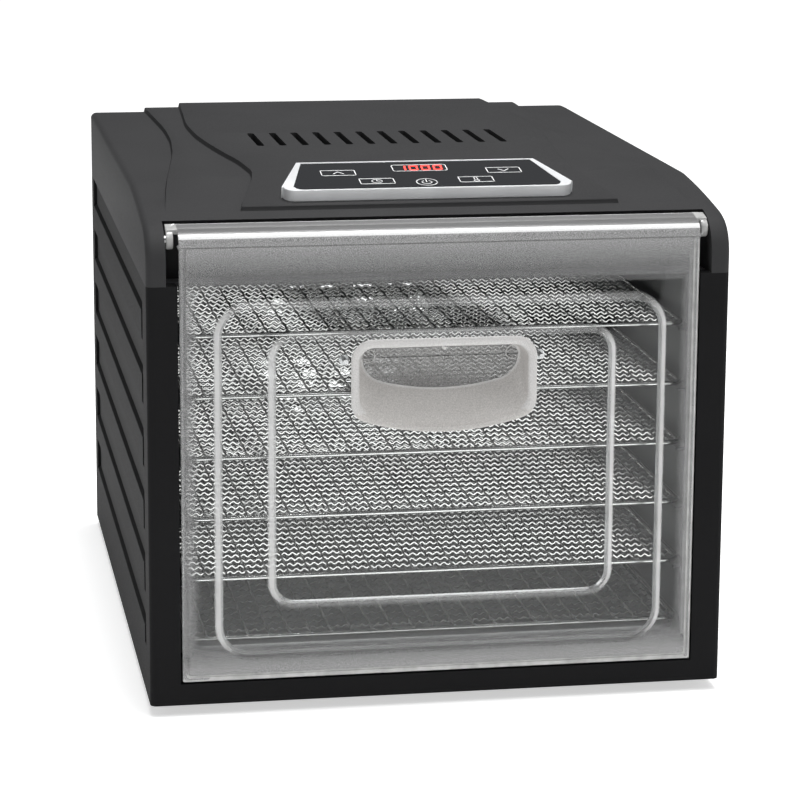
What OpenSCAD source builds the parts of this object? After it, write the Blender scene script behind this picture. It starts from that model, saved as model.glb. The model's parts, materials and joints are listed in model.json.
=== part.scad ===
// Food dehydrator: a box with a lift-up clear door, wire trays and a fan behind them.
// +Z up, the door faces -Y, and the origin is the centre of the footprint on the worktop.
// Inside each module, y is counted back from the front face of the posts.

/* [Body] */
// Width over the side panels
body_w = 345; // [320:1:420]
// Depth from the front posts to the back edge of the side panels
body_d = 442; // [380:1:540]
// Height of the rubber feet
foot_h = 7; // [5:0.5:12]
// Height of the base, from its underside to the side panels
base_h = 29.5; // [27:0.5:40]
// Height of the top cover's flat shoulder above the side panels
cover_h = 44.9; // [44:0.1:60]
// Wall of the moulded shells
wall = 3; // [2.5:0.1:3.5]
// Radius of the upright corners
corner_r = 4; // [2:0.5:5]

/* [Door opening] */
// Width of one front post
post_w = 18; // [14:0.5:20]
// Depth of the front posts
post_d = 12; // [10:0.5:13]
// Gap between the door and the posts on each side
door_gap = 1; // [1:0.5:4]

/* [Door] */
// Thickness of the clear sheet
door_t = 3; // [2:0.1:3.2]
// Height of the door's lower edge above the base's underside
door_low = 14; // [14:0.5:20]
// How far each of the two raised panels steps out
door_step = 3.5; // [2:0.1:4]
// Inset of the outer raised panel from the door's side
step_one_in = 20; // [14:1:30]
// Inset of the inner raised panel from the outer one
step_two_in = 31; // [20:1:40]
// Radius of the hinge pins
pin_r = 2.5; // [2:0.1:3]
// Radial clearance of the pins in their bores
pin_gap = 0.05; // [0.02:0.01:0.1]
// Width of the finger recess
recess_w = 104; // [90:1:120]
// Height of the finger recess
recess_h = 50; // [44:1:56]

/* [Trays] */
// Height from one tray to the next
tray_pitch = 36.6; // [34:0.1:45]
// Diameter of the tray's rim wire
rim_wire = 3; // [2.5:0.1:4]
// Diameter of the mesh wires
mesh_wire = 1.2; // [1:0.1:1.5]
// Largest space between the mesh wires that run front to back
mesh_x = 13.1; // [10:0.1:20]
// Largest space between the mesh wires that run side to side
mesh_y = 12.2; // [10:0.1:20]
// Gap between a tray and what guides it
tray_gap = 0.4; // [0.3:0.05:0.8]
// How far the rail ledges reach inwards
ledge_w = 8.5; // [7:0.5:12]

/* [Fan and heater] */
// Depth of the space behind the baffle
plenum_d = 87; // [84:1:100]
// Radius of the fan's blades
fan_r = 58; // [50:1:62]
// Number of fan blades
blades = 7; // [5:1:9]
// Radius of the motor shaft
shaft_r = 2.5; // [2:0.1:3]
// Radius of the motor can
motor_r = 26; // [22:1:30]

/* [Top] */
// Height of the low outer step on the top
step_h = 3; // [2:0.1:4]
// Slope of the control panel
panel_tilt = 10; // [8:0.5:12]
// Height of the control panel's frame
bezel_h = 6.8; // [5:0.1:8]
// Number of air vents in the top
vents = 12; // [8:1:14]
// Width of one air vent
vent_w = 4.6; // [4.1:0.1:5.5]

/* [Hidden] */
tray_count = 6;
$fn = 48;
eps = 0.01;

// Overall places
hw = body_w / 2;
z_base = foot_h;
z_seam = z_base + base_h;
first_tray = 5.1;
top_space = 33;
side_h = first_tray + (tray_count - 1) * tray_pitch + top_space;
z_top = z_seam + side_h;
z_shoulder = z_top + cover_h;
z_step = z_shoulder + step_h;
z_plateau = z_step + step_h;

// Door
opening = hw - post_w;
door_hw = opening - door_gap;
door_z = z_base + door_low;
door_bend = 7;
flange_tilt = 11;
flange_d = 20.5;
flange_reach = (flange_d - door_bend) / cos(flange_tilt);
hinge_y = 12;
hinge_z = z_top + 25.4;
door_corner_z = hinge_z - 1.4;
ear_r = 5.5;
ear_t = 4;
door_full = door_hw + 6.5;
cheek = door_full + 1;
pin_len = 9.5;
sweep_r = hinge_y + 2.6;
step_one = door_hw - step_one_in;
step_two = step_one - step_two_in;
step_one_low = door_z + 10.4;
step_one_high = z_top - 10.6;
step_two_low = step_one_low + 31.2;
step_two_high = step_one_high - 18;
recess_low = step_two_high - 7 - recess_h;
recess_arc = 148;
recess_wall = 2;
recess_depth = 13;
recess_lip = 3.2;
door_bulge = 2 * door_step + 1;
front_y = (door_bulge - body_d) / 2;

// Side panels: raised bands, each with a sloping foot and a narrow ledge on top
rib_depth = 2;
rib_slope = 5.4;
rib_flat = 16.2;
rib_ledge = 1.8;
rib_count = 6;
rib_top = z_top - 19.6;
rib_pitch = (rib_top - z_seam - 10.5) / (rib_count - 1);
rib_y0 = 34;
rib_y1 = body_d - 22;
skin_x = hw - rib_depth - wall;

// Base and chamber
sill_gap = 0.5;
sill_t = 12;
liner_gap = 0.5;
liner_t = 1.5;
liner_x = opening - liner_gap;
liner_d = body_d - plenum_d - post_d - 3;
floor_t = 1.5;
z_floor = z_seam - 1;
z_ceiling = z_top - 2;
ceiling_t = 2;
baffle_y = body_d - plenum_d - 2;
baffle_t = 2;
crumb_t = 1;
crumb_rim = 3.4;

// Trays
tray_front = 16;
tray_hw = liner_x - 3;
tray_d = baffle_y - 7 - tray_front;
tray_r = 8;
wires_x = ceil(2 * tray_hw / mesh_x) - 1;
wires_y = ceil(tray_d / mesh_y) - 1;

// Fan and heater
fan_z = (z_floor + z_ceiling) / 2;
fan_hole = fan_r + 5;
shroud_t = 2;
heater_y = baffle_y + 12;
heater_r = fan_r - 10;
heater_wire = 3.2;
impeller_y = baffle_y + 24;
impeller_d = 14;
hub_r = 15;
bracket_y = baffle_y + 42;
bracket_t = 2;
bracket_post_x = fan_hole + 14;
motor_y = bracket_y + bracket_t;
motor_len = 24;
boss_r = 9;
boss_len = 3;
bush_r = 5;
bush_len = 6;
rear_y = body_d - 12;
rear_t = 3;

// Control panel, on the sloped front of the plateau
slope_y = 38;
slope_len = 63;
slope_z = z_plateau - slope_len * tan(panel_tilt);
bezel_u0 = 6;
bezel_u1 = 58;
bezel_front = hw - 82.3;
bezel_rear = hw - 99.5;
bezel_r = 9;
seat_gap = 0.05;
glass_in = 7.2;
glass_t = 1.6;
board_drop = 8;
board_t = 1.6;
board_y = body_d - 190;
board_z = z_ceiling + ceiling_t + 5;
window_w = 46;
window_d = 15;
window_u = 43;

// Air vents in the top
vent_len = 56;
vent_y = body_d - 230;
vent_span = hw - 93;
vent_pitch = 2 * vent_span / (vents - 1);

// Screws and the lead's gland
screw_r = 1.5;
screw_head = 3;
screw_head_h = 2;
gland_r = 6;
gland_bore = 3.5;
gland_x = hw - 48;
gland_z = z_seam + 26;

function rise(y) = min(1, max(0, (y - slope_y) / slope_len));
function bez(a, b, c, t) = (1 - t) * (1 - t) * a + 2 * t * (1 - t) * b + t * t * c;

// Side outline of the cover's shoulder: up the front, over the nose and back along the top
nose = [[0, z_top + 11.9], [1.5, z_top + 29.8], [22, z_top + 34.2]];
brow = [nose[2], [66, z_shoulder - 3], [105, z_shoulder]];
shoulder_line = concat(
  [[0, z_top]],
  [for (i = [0:10]) bez(nose[0], nose[1], nose[2], i / 10)],
  [for (i = [1:8]) bez(brow[0], brow[1], brow[2], i / 8)],
  [[body_d, z_shoulder], [body_d, z_top]]
);

// Inset from the cover's side of the low step and of the plateau, at places along y
step_line = [[40, 14.5], [86, 19.5], [151, 28], [212, 35.5], [271, 40], [328, 41], [body_d, 37.5]];
plateau_line = [[slope_y - 3, 57.5], [98, 73.5], [150, 70.5], [183, 65.5], [225, 60.5],
  [270, 56.5], [325, 55.5], [body_d, 62.5]];

module outline(line, inset = 0) {
  right = [for (p = line) [hw - p[1] - inset, p[0]]];
  left = [for (i = [len(line) - 1:-1:0]) [-(hw - line[i][1] - inset), line[i][0]]];
  polygon(concat(right, left));
}

module placed() {
  translate([0, front_y, 0])
    children();
}

module along_x(x0, x1) {
  translate([x0, 0, 0])
    rotate([90, 0, 90])
      linear_extrude(x1 - x0)
        children();
}

module along_y(y0, y1) {
  translate([0, y1, 0])
    rotate([90, 0, 0])
      linear_extrude(y1 - y0)
        children();
}

module block(x0, x1, y0, y1, z0, z1) {
  translate([x0, y0, z0])
    cube([x1 - x0, y1 - y0, z1 - z0]);
}

module rod_y(x, y0, y1, z, r) {
  translate([x, y0, z])
    rotate([-90, 0, 0])
      cylinder(h = y1 - y0, r = r);
}

module rod_x(x0, x1, y, z, r) {
  translate([x0, y, z])
    rotate([0, 90, 0])
      cylinder(h = x1 - x0, r = r);
}

module round_rect(x0, x1, y0, y1, r) {
  translate([x0 + r, y0])
    square([x1 - x0 - 2 * r, y1 - y0]);
  translate([x0, y0 + r])
    square([x1 - x0, y1 - y0 - 2 * r]);
  for (x = [x0 + r, x1 - r], y = [y0 + r, y1 - r])
    translate([x, y])
      circle(r);
}

module both_sides() {
  children();
  mirror([1, 0, 0])
    children();
}

// ---------- Casing ----------

module base_tub() {
  color("#1c1c1e")
    placed()
      difference() {
        union() {
          difference() {
            translate([0, 0, z_base])
              linear_extrude(base_h)
                round_rect(-hw, hw, 0, body_d, corner_r);
            block(-hw + wall, hw - wall, sill_t, rear_y - 1, z_base + wall, z_seam + 1);
            block(-opening, opening, -1, door_t + sill_gap, door_z - 1.2, z_seam + 1);
            block(-opening, opening, -1, sill_t + 1, z_floor, z_seam + 1);
          }
          for (x = [-0.5, 0.5] * body_w * 0.5, y = [sill_t + 10, rear_y - 20])
            block(x - 15, x + 15, y, y + 3, z_base + wall - 1, z_floor - floor_t);
        }
        foot_places()
          cylinder(h = base_h, r = screw_r);
      }
}

module foot_places() {
  for (x = [-1, 1] * (hw - 25), y = [30, body_d - 30])
    translate([x, y, 0])
      children();
}

module rubber_feet() {
  color("#101010")
    placed()
      foot_places()
        difference() {
          cylinder(h = foot_h, r = 10);
          translate([0, 0, -1])
            cylinder(h = foot_h - 2, r = screw_head + 0.5);
          cylinder(h = foot_h + 1, r = screw_r);
        }
}

module foot_screws() {
  color("silver")
    placed()
      foot_places() {
        translate([0, 0, foot_h - 3 - screw_head_h])
          cylinder(h = screw_head_h, r = screw_head);
        translate([0, 0, foot_h - 3])
          cylinder(h = 3 + wall - 0.5, r = screw_r);
      }
}

// Section of a side panel's skin: raised bands with a sloping foot
module rib_section() {
  rows = [for (i = [0:rib_count - 1]) rib_top - i * rib_pitch];
  bands = [for (i = [0:rib_count - 2]) each [
    [hw - rib_depth, rows[i] + rib_ledge],
    [hw, rows[i]],
    [hw, rows[i] - rib_flat],
    [hw - rib_depth, rows[i] - rib_flat - rib_slope]
  ]];
  last = rows[rib_count - 1];
  polygon(concat(
    [[skin_x, z_top], [hw - rib_depth, z_top]],
    bands,
    [[hw - rib_depth, last + rib_ledge], [hw, last], [hw, z_seam], [skin_x, z_seam]]
  ));
}

// Right-hand panel: post, ribbed skin and the flange that the rear cover screws to
module side_panel() {
  difference() {
    union() {
      along_y(rib_y0, rib_y1)
        rib_section();
      translate([0, 0, z_seam])
        linear_extrude(side_h)
          intersection() {
            round_rect(skin_x - 20, hw, 0, body_d, corner_r);
            union() {
              translate([skin_x, 0])
                square([hw - skin_x, rib_y0 - 8]);
              translate([skin_x, rib_y1])
                square([hw - skin_x, body_d - rib_y1]);
              translate([opening, 0])
                square([post_w, post_d]);
            }
          }
      block(skin_x, hw - 0.8, rib_y0 - 8 - eps, rib_y0 + eps, z_seam, z_top);
      block(hw - post_w + 4, skin_x + eps, rear_y - wall, rear_y, z_seam, z_top);
    }
    screw_rows()
      rod_y(hw - 9, rear_y - wall - 1, rear_y + 1, 0, screw_r);
  }
}

module screw_rows() {
  for (z = [z_seam + 12, (z_seam + z_top) / 2, z_top - 12])
    translate([0, 0, z])
      children();
}

module right_side_panel() {
  color("#1c1c1e")
    placed()
      side_panel();
}

module left_side_panel() {
  color("#1c1c1e")
    placed()
      mirror([1, 0, 0])
        side_panel();
}

module vent_slots() {
  for (i = [0:vents - 1])
    translate([-vent_span + i * vent_pitch, vent_y, z_shoulder - 20])
      linear_extrude(40) {
        translate([-vent_w / 2, 0])
          square([vent_w, vent_len]);
        for (y = [0, vent_len])
          translate([0, y])
            circle(vent_w / 2);
      }
}

// Side outline of the plateau, with its sloped front for the control panel
module plateau_profile(drop = 0) {
  polygon([
    [slope_y, slope_z - 4 - drop],
    [slope_y, slope_z - drop],
    [slope_y + slope_len, z_plateau - drop],
    [body_d, z_plateau - drop],
    [body_d, z_top],
    [slope_y, z_top]
  ]);
}

module shoulder_profile(up = 0) {
  translate([0, up])
    polygon(shoulder_line);
}

// The step rises out of the shoulder over the length of the plateau's slope
module step_profile() {
  polygon([for (p = shoulder_line) [p[0], p[1] + step_h * rise(p[0])]]);
}

module cover_outside() {
  along_x(-hw, hw)
    shoulder_profile();
  intersection() {
    translate([0, 0, z_top])
      linear_extrude(cover_h + step_h + 1)
        outline(step_line);
    along_x(-hw, hw)
      step_profile();
  }
  intersection() {
    translate([0, 0, z_top])
      linear_extrude(cover_h + 2 * step_h + 1)
        outline(plateau_line);
    along_x(-hw, hw)
      plateau_profile();
  }
}

module cover_inside() {
  intersection() {
    along_x(-hw + wall, hw - wall)
      shoulder_profile(-wall);
    block(-hw + wall, hw - wall, hinge_y + sweep_r + wall, rear_y, z_top - 1, z_plateau);
  }
  intersection() {
    translate([0, 0, z_top])
      linear_extrude(cover_h + 2 * step_h + 1)
        outline(plateau_line, wall);
    along_x(-hw, hw)
      plateau_profile(wall);
    block(-hw, hw, hinge_y + sweep_r + wall, rear_y, z_top - 1, z_plateau);
  }
}

// Room for the door's top to turn in
module hinge_notch() {
  block(-cheek, cheek, -1, hinge_y, z_top - 1, z_plateau);
  block(-cheek, cheek, -1, hinge_y + sweep_r, z_top - 1, hinge_z);
  rod_x(-cheek, cheek, hinge_y, hinge_z, sweep_r);
}

module top_cover() {
  color("#2a2a2d")
    placed()
      difference() {
        intersection() {
          cover_outside();
          translate([0, 0, z_top])
            linear_extrude(cover_h + 20)
              round_rect(-hw, hw, 0, body_d, corner_r);
        }
        cover_inside();
        hinge_notch();
        both_sides()
          rod_x(cheek - 1, cheek + pin_len - 2.5, hinge_y, hinge_z, pin_r + pin_gap);
        vent_slots();
        on_slope(window_u)
          block(-window_w / 2, window_w / 2, -window_d / 2, window_d / 2, -9, 5);
      }
}

module rear_cover() {
  color("#1c1c1e")
    placed()
      difference() {
        union() {
          block(-skin_x + 1, skin_x - 1, rear_y, rear_y + rear_t, z_seam, z_top);
          difference() {
            block(-hw + post_w - 3, hw - post_w + 3, rear_y - 6, rear_y, z_seam + 3, z_top - 3);
            block(-hw + post_w, hw - post_w, rear_y - 7, rear_y + 1, z_seam + 6, z_top - 6);
          }
        }
        intersection() {
          rod_y(0, rear_y - 1, rear_y + rear_t + 1, fan_z, fan_r + 12);
          for (i = [-7:7])
            block(-fan_r - 12, fan_r + 12, rear_y - 1, rear_y + rear_t + 1,
              fan_z + i * 9 - 2.3, fan_z + i * 9 + 2.3);
        }
        both_sides()
          screw_rows()
            rod_y(hw - 9, rear_y - 1, rear_y + rear_t + 1, 0, screw_r + 0.3);
        for (x = [-1, 1] * bracket_post_x)
          rod_y(x, rear_y - 1, rear_y + rear_t + 1, fan_z, screw_r + 0.3);
        rod_y(gland_x, rear_y - 1, rear_y + rear_t + 1, gland_z, gland_r);
      }
}

// ---------- Chamber ----------

module chamber_floor() {
  color("#3a3a3c")
    placed()
      block(-hw + wall + 0.5, hw - wall - 0.5, sill_t + 0.5, rear_y - 8, z_floor - floor_t, z_floor);
}

module chamber_ceiling() {
  color("#3a3a3c")
    placed()
      block(-skin_x + 0.5, skin_x - 0.5, post_d + 0.5, rear_y - 8, z_ceiling, z_ceiling + ceiling_t);
}

function tray_z(k) = z_seam + first_tray + (tray_count - k) * tray_pitch;

// Right-hand inner wall with one ledge for each tray
module rail_liner() {
  block(liner_x, liner_x + liner_t, post_d + 0.5, post_d + liner_d, z_floor, z_ceiling);
  for (k = [1:tray_count])
    block(liner_x - ledge_w, liner_x + eps, post_d + 0.5, post_d + liner_d - 4,
      tray_z(k) - rim_wire / 2 - tray_gap - 1.6, tray_z(k) - rim_wire / 2 - tray_gap);
}

module right_rail_liner() {
  color("#232325")
    placed()
      difference() {
        rail_liner();
        crumb_room();
      }
}

module left_rail_liner() {
  color("#232325")
    placed()
      mirror([1, 0, 0])
        difference() {
          rail_liner();
          crumb_room();
        }
}

// The lowest ledges stop above the crumb tray's rim
module crumb_room() {
  block(liner_x - ledge_w - 1, liner_x - 0.4, post_d, post_d + liner_d,
    z_floor - 1, z_floor + crumb_rim + 2 * tray_gap);
}

module crumb_tray() {
  x = liner_x - 6;
  y1 = tray_front + tray_d;
  color("#b9b9b7")
    placed()
      translate([0, 0, z_floor + 0.1])
        difference() {
          linear_extrude(crumb_rim - 0.4)
            round_rect(-x, x, post_d + 1, y1, 12);
          translate([0, 0, crumb_t])
            linear_extrude(crumb_rim)
              round_rect(-x + crumb_t, x - crumb_t, post_d + 1 + crumb_t, y1 - crumb_t, 12 - crumb_t);
        }
}

module rear_baffle() {
  color("#2b2b2d")
    placed()
      difference() {
        block(-liner_x - liner_t, liner_x + liner_t, baffle_y, baffle_y + baffle_t, z_floor, z_ceiling);
        rod_y(0, baffle_y - 1, baffle_y + baffle_t + 1, fan_z, fan_hole);
        both_sides()
          for (i = [0:11])
            block(liner_x - 48, liner_x - 14, baffle_y - 1, baffle_y + baffle_t + 1,
              z_floor + 14 + i * (z_ceiling - z_floor - 32) / 11,
              z_floor + 18 + i * (z_ceiling - z_floor - 32) / 11);
      }
}

module ring(y, big, small) {
  translate([0, y, fan_z])
    rotate([90, 0, 0])
      rotate_extrude()
        translate([big, 0])
          circle(small);
}

module fan_guard() {
  guard_y = baffle_y - 1.6;
  color("silver")
    placed() {
      for (r = [14:12.4:fan_hole])
        ring(guard_y, r, 0.8);
      ring(guard_y, fan_hole + 2, 1.2);
      for (a = [0:60:359])
        translate([0, 0, fan_z])
          rotate([0, a, 0])
            block(13.6, fan_hole + 2, guard_y + 0.2, guard_y + 1.4, -0.9, 0.9);
    }
}

module fan_shroud() {
  color("#8a8a8c")
    placed()
      difference() {
        rod_y(0, baffle_y + baffle_t, baffle_y + 39, fan_z, fan_hole + shroud_t);
        rod_y(0, baffle_y, baffle_y + 40, fan_z, fan_hole);
      }
}

// ---------- Trays ----------

module rim_bars() {
  x = tray_hw - rim_wire / 2;
  y0 = tray_front + rim_wire / 2;
  y1 = tray_front + tray_d - rim_wire / 2;
  r = rim_wire / 2;
  both_sides()
    rod_y(x, y0 + tray_r, y1 - tray_r, 0, r);
  for (y = [y0, y1])
    rod_x(-x + tray_r, x - tray_r, y, 0, r);
  both_sides()
    for (corner = [[y0 + tray_r, -90], [y1 - tray_r, 0]])
      translate([x - tray_r, corner[0], 0])
        rotate([0, 0, corner[1]])
          rotate_extrude(angle = 90)
            translate([tray_r, 0])
              circle(r);
}

module tray(k) {
  x = tray_hw - rim_wire / 2;
  y0 = tray_front + rim_wire / 2;
  y1 = tray_front + tray_d - rim_wire / 2;
  lift = mesh_wire / 2 + 0.1;
  color("silver")
    placed()
      translate([0, 0, tray_z(k)]) {
        rim_bars();
        for (i = [1:wires_x])
          rod_y(-x + 2 * x * i / (wires_x + 1), y0, y1, lift, mesh_wire / 2);
        for (i = [1:wires_y])
          rod_x(-x, x, y0 + (y1 - y0) * i / (wires_y + 1), -lift, mesh_wire / 2);
      }
}

// ---------- Door ----------

// Section of the clear sheet: upright, bent back at the top into a sloping flange
module door_section() {
  translate([0, door_z])
    square([door_t, door_corner_z - door_z]);
  translate([door_bend, door_corner_z])
    intersection() {
      difference() {
        circle(door_bend);
        circle(door_bend - door_t);
      }
      polygon([[0, 0], [-2 * door_bend, 0], [-2 * door_bend, 2 * door_bend],
        2 * door_bend * [-sin(flange_tilt), cos(flange_tilt)]]);
    }
  flange_strip(0);
}

// Section of the flange, a hair thinner than the bend so that the two meet in a clean edge
module flange_strip(start) {
  translate([door_bend, door_corner_z])
    rotate(flange_tilt)
      translate([start, door_bend - door_t + eps])
        square([flange_reach - start, door_t - 2 * eps]);
}

module raised_panel(half, low, high, r, face, back) {
  along_y(face, back)
    round_rect(-half, half, low, high, r);
}

module recess_outline(inset = 0) {
  intersection() {
    round_rect(-recess_w / 2 + inset, recess_w / 2 - inset,
      recess_low + inset, recess_low + recess_h - inset, 10 - inset);
    translate([0, recess_low + recess_arc])
      circle(recess_arc - inset, $fn = 96);
  }
}

module door_panel() {
  t = door_t;
  s1 = -door_step;
  s2 = -2 * door_step;
  color([0.85, 0.88, 0.9, 0.3])
    placed()
      difference() {
        union() {
          along_x(-door_hw, door_hw)
            door_section();
          raised_panel(step_one, step_one_low, step_one_high, 20, s1, t);
          raised_panel(step_two, step_two_low, step_two_high, 15, s2, t);
          both_sides()
            along_x(door_hw - 1, door_full)
              flange_strip(4);
          both_sides()
            difference() {
              union() {
                rod_x(door_full - ear_t, door_full, hinge_y, hinge_z, ear_r);
                block(door_full - ear_t, door_full, hinge_y - 2, hinge_y + 2, hinge_z, hinge_z + 5);
              }
              rod_x(door_full - ear_t - 1, door_full + 1, hinge_y, hinge_z, pin_r);
            }
        }
        raised_panel(step_one - t, step_one_low + t, step_one_high - t, 20 - t, s1 + t, t + 1);
        raised_panel(step_two - t, step_two_low + t, step_two_high - t, 15 - t, s2 + t, t + 1);
        along_y(s2 - 1, t + 1)
          recess_outline();
        for (x = [-1, 1] * (recess_w / 2 + 6))
          rod_y(x, s2 - 1, t, recess_low + recess_h - 10, screw_r);
      }
}

// Scoop that the fingers pull on, with a sloping back wall
module door_handle() {
  face = -2 * door_step;
  back = face + recess_depth;
  top = recess_low + recess_h;
  color([0.9, 0.9, 0.9, 0.6])
    placed() {
      difference() {
        union() {
          intersection() {
            along_y(face, back + recess_wall)
              recess_outline();
            along_x(-recess_w, recess_w)
              polygon([[face, top], [back + recess_wall, top], [back + recess_wall, top - 30],
                [face + 2, recess_low], [face, recess_low]]);
          }
          along_y(face - 1, face)
            recess_outline(-recess_lip);
        }
        intersection() {
          along_y(face - 2, back)
            recess_outline(recess_wall);
          along_x(-recess_w, recess_w)
            polygon([[face - 2, top], [back, top], [back, top - 28],
              [face, recess_low + recess_wall + 0.5], [face - 2, recess_low + recess_wall + 0.5]]);
        }
      }
      for (x = [-1, 1] * (recess_w / 2 + 6))
        difference() {
          rod_y(x, face + door_t, face + door_t + 4, recess_low + recess_h - 10, 3.5);
          rod_y(x, face, face + 20, recess_low + recess_h - 10, screw_r);
        }
    }
}

module handle_screws() {
  face = -2 * door_step;
  color("silver")
    placed()
      for (x = [-1, 1] * (recess_w / 2 + 6)) {
        rod_y(x, face + 0.5, face + door_t + 4, recess_low + recess_h - 10, screw_r);
        rod_y(x, face + door_t + 4, face + door_t + 4 + screw_head_h,
          recess_low + recess_h - 10, screw_head);
      }
}

module hinge_pins() {
  color("silver")
    placed()
      both_sides()
        rod_x(door_full - ear_t, door_full - ear_t + pin_len, hinge_y, hinge_z, pin_r);
}

// ---------- Control panel ----------

// Puts children on the plateau's slope, u back from its front edge
module on_slope(u) {
  translate([0, slope_y, slope_z])
    rotate([panel_tilt, 0, 0])
      translate([0, u, 0])
        children();
}

module panel_shape(front, rear, r, inset = 0) {
  u0 = inset;
  u1 = bezel_u1 - bezel_u0 - inset;
  a = atan((front - rear) / (u1 - u0));
  difference() {
    polygon([[-front, u0], [front, u0], [rear, u1], [-rear, u1]]);
    both_sides() {
      difference() {
        translate([front - r, u0 - 1])
          square([r + 1, r * 0.8 + 1]);
        translate([front - r * (1 + tan(a / 2 + 1)), u0 + r * 0.8])
          circle(r * 0.8);
        translate([front - 2 * r, u0 - 2])
          square([r * (1 - tan(a / 2 + 1)), 2 * r]);
      }
    }
  }
}

module display_bezel() {
  color("#b9bcc2")
    placed()
      on_slope(bezel_u0)
        difference() {
          translate([0, 0, seat_gap])
            linear_extrude(bezel_h - seat_gap)
              panel_shape(bezel_front, bezel_rear, bezel_r);
          translate([0, 0, bezel_h - glass_t - 0.2])
            linear_extrude(glass_t + 2)
              glass_shape();
          translate([0, 0, -1])
            linear_extrude(bezel_h + 2)
              panel_shape(bezel_front - 12, bezel_rear - 9, 4, 6);
        }
}

module glass_shape() {
  panel_shape(bezel_front - glass_in - 1, bezel_rear - 2.5, 6, 1.6);
}

module display_glass() {
  color("#050506")
    placed()
      on_slope(bezel_u0)
        translate([0, 0, bezel_h - glass_t - 0.2])
          linear_extrude(glass_t)
            glass_shape();
}

module display_window() {
  color([0.4, 0.02, 0.02, 0.8])
    placed()
      on_slope(window_u)
        block(-window_w / 2 + 3, window_w / 2 - 3, -window_d / 2 + 2, window_d / 2 - 2,
          bezel_h - glass_t - 0.2 - 1.2, bezel_h - glass_t - 0.2);
}

module led_display() {
  color("#e8e6e0")
    placed()
      on_slope(window_u)
        block(-window_w / 2 + 3, window_w / 2 - 3, -window_d / 2 + 2, window_d / 2 - 2,
          -board_drop, bezel_h - glass_t - 0.2 - 1.2);
}

module control_board() {
  color("darkgreen")
    placed()
      on_slope(bezel_u0 + 8)
        block(-bezel_rear + 8, bezel_rear - 8, 0, 38, -board_drop - board_t, -board_drop);
}

module power_board() {
  color("darkgreen")
    placed() {
      block(-70, 70, board_y, board_y + 90, board_z, board_z + board_t);
      for (x = [-62, 62], y = [board_y + 8, board_y + 82])
        translate([x, y, z_ceiling + ceiling_t])
          cylinder(h = 5 + eps, r = 3);
    }
}

module mains_relay() {
  color("#1d4f8f")
    placed()
      block(-60, -32, board_y + 20, board_y + 38, board_z + board_t, board_z + board_t + 20);
}

module filter_capacitor() {
  color("#222222")
    placed()
      translate([-4, board_y + 32, board_z + board_t])
        cylinder(h = 24, r = 10);
}

module terminal_block() {
  color("darkgreen")
    placed()
      difference() {
        block(22, 60, board_y + 66, board_y + 80, board_z + board_t, board_z + board_t + 14);
        for (x = [29, 41, 53])
          rod_y(x, board_y + 72, board_y + 81, board_z + board_t + 6, 2.2);
      }
}

// ---------- Fan, motor and heater ----------

module fan_impeller() {
  color("#2f2f31")
    placed()
      difference() {
        union() {
          rod_y(0, impeller_y, impeller_y + impeller_d, fan_z, hub_r);
          intersection() {
            rod_y(0, impeller_y - 2, impeller_y + impeller_d, fan_z, fan_r);
            union()
              for (i = [0:blades - 1])
                translate([0, impeller_y + impeller_d / 2, fan_z])
                  rotate([0, i * 360 / blades, 0])
                    rotate([0, 0, 32])
                      translate([-0.9, -16, hub_r - 2])
                        cube([1.8, 32, fan_r]);
          }
        }
        rod_y(0, impeller_y - 5, impeller_y + impeller_d + 5, fan_z, shaft_r);
      }
}

module fan_nut() {
  color("silver")
    placed()
      difference() {
        translate([0, impeller_y, fan_z])
          rotate([90, 0, 0])
            cylinder(h = 4, r = 5.5, $fn = 6);
        rod_y(0, impeller_y - 5, impeller_y + 1, fan_z, shaft_r);
      }
}

module motor_shaft() {
  color("silver")
    placed()
      rod_y(0, impeller_y - 6, motor_y + motor_len + boss_len + 1, fan_z, shaft_r);
}

module fan_motor() {
  color("#8d8f94")
    placed()
      difference() {
        union() {
          rod_y(0, motor_y, motor_y + motor_len, fan_z, motor_r);
          rod_y(0, bracket_y - 1, motor_y + motor_len + boss_len, fan_z, boss_r);
        }
        rod_y(0, bracket_y - 2, motor_y + motor_len + boss_len + 1, fan_z, shaft_r + 1);
        rod_y(0, bracket_y - 2, bracket_y - 1 + bush_len, fan_z, bush_r);
        rod_y(0, motor_y + motor_len + boss_len - bush_len, motor_y + motor_len + boss_len + 1,
          fan_z, bush_r);
      }
}

module motor_bushes() {
  color("#b5803c")
    placed()
      for (y = [bracket_y - 1, motor_y + motor_len + boss_len - bush_len])
        difference() {
          rod_y(0, y, y + bush_len, fan_z, bush_r);
          rod_y(0, y - 1, y + bush_len + 1, fan_z, shaft_r + pin_gap);
        }
}

module motor_bracket() {
  color("#9a9a9c")
    placed()
      difference() {
        union() {
          block(-bracket_post_x - 8, bracket_post_x + 8, bracket_y, bracket_y + bracket_t,
            fan_z - 15, fan_z + 15);
          for (x = [-1, 1] * bracket_post_x)
            rod_y(x, bracket_y + bracket_t - eps, rear_y, fan_z, 5);
        }
        rod_y(0, bracket_y - 1, bracket_y + bracket_t + 1, fan_z, boss_r);
        for (x = [-1, 1] * bracket_post_x)
          rod_y(x, rear_y - 14, rear_y + 1, fan_z, screw_r);
      }
}

module heater_element() {
  color("#6d6a66")
    placed() {
      ring(heater_y, heater_r, heater_wire);
      for (x = [-8, 8])
        rod_y(x, heater_y, heater_y + 8, fan_z - sqrt(heater_r * heater_r - 64), heater_wire - 0.6);
    }
}

module heater_clips() {
  color("#9a9a9c")
    placed()
      difference() {
        intersection() {
          for (a = [30, 150, 270])
            translate([0, 0, fan_z])
              rotate([0, a, 0])
                block(heater_r - 5, fan_hole + 1, heater_y - 5, heater_y + 5, -4, 4);
          rod_y(0, heater_y - 6, heater_y + 6, fan_z, fan_hole);
        }
        ring(heater_y, heater_r, heater_wire);
      }
}

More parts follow.
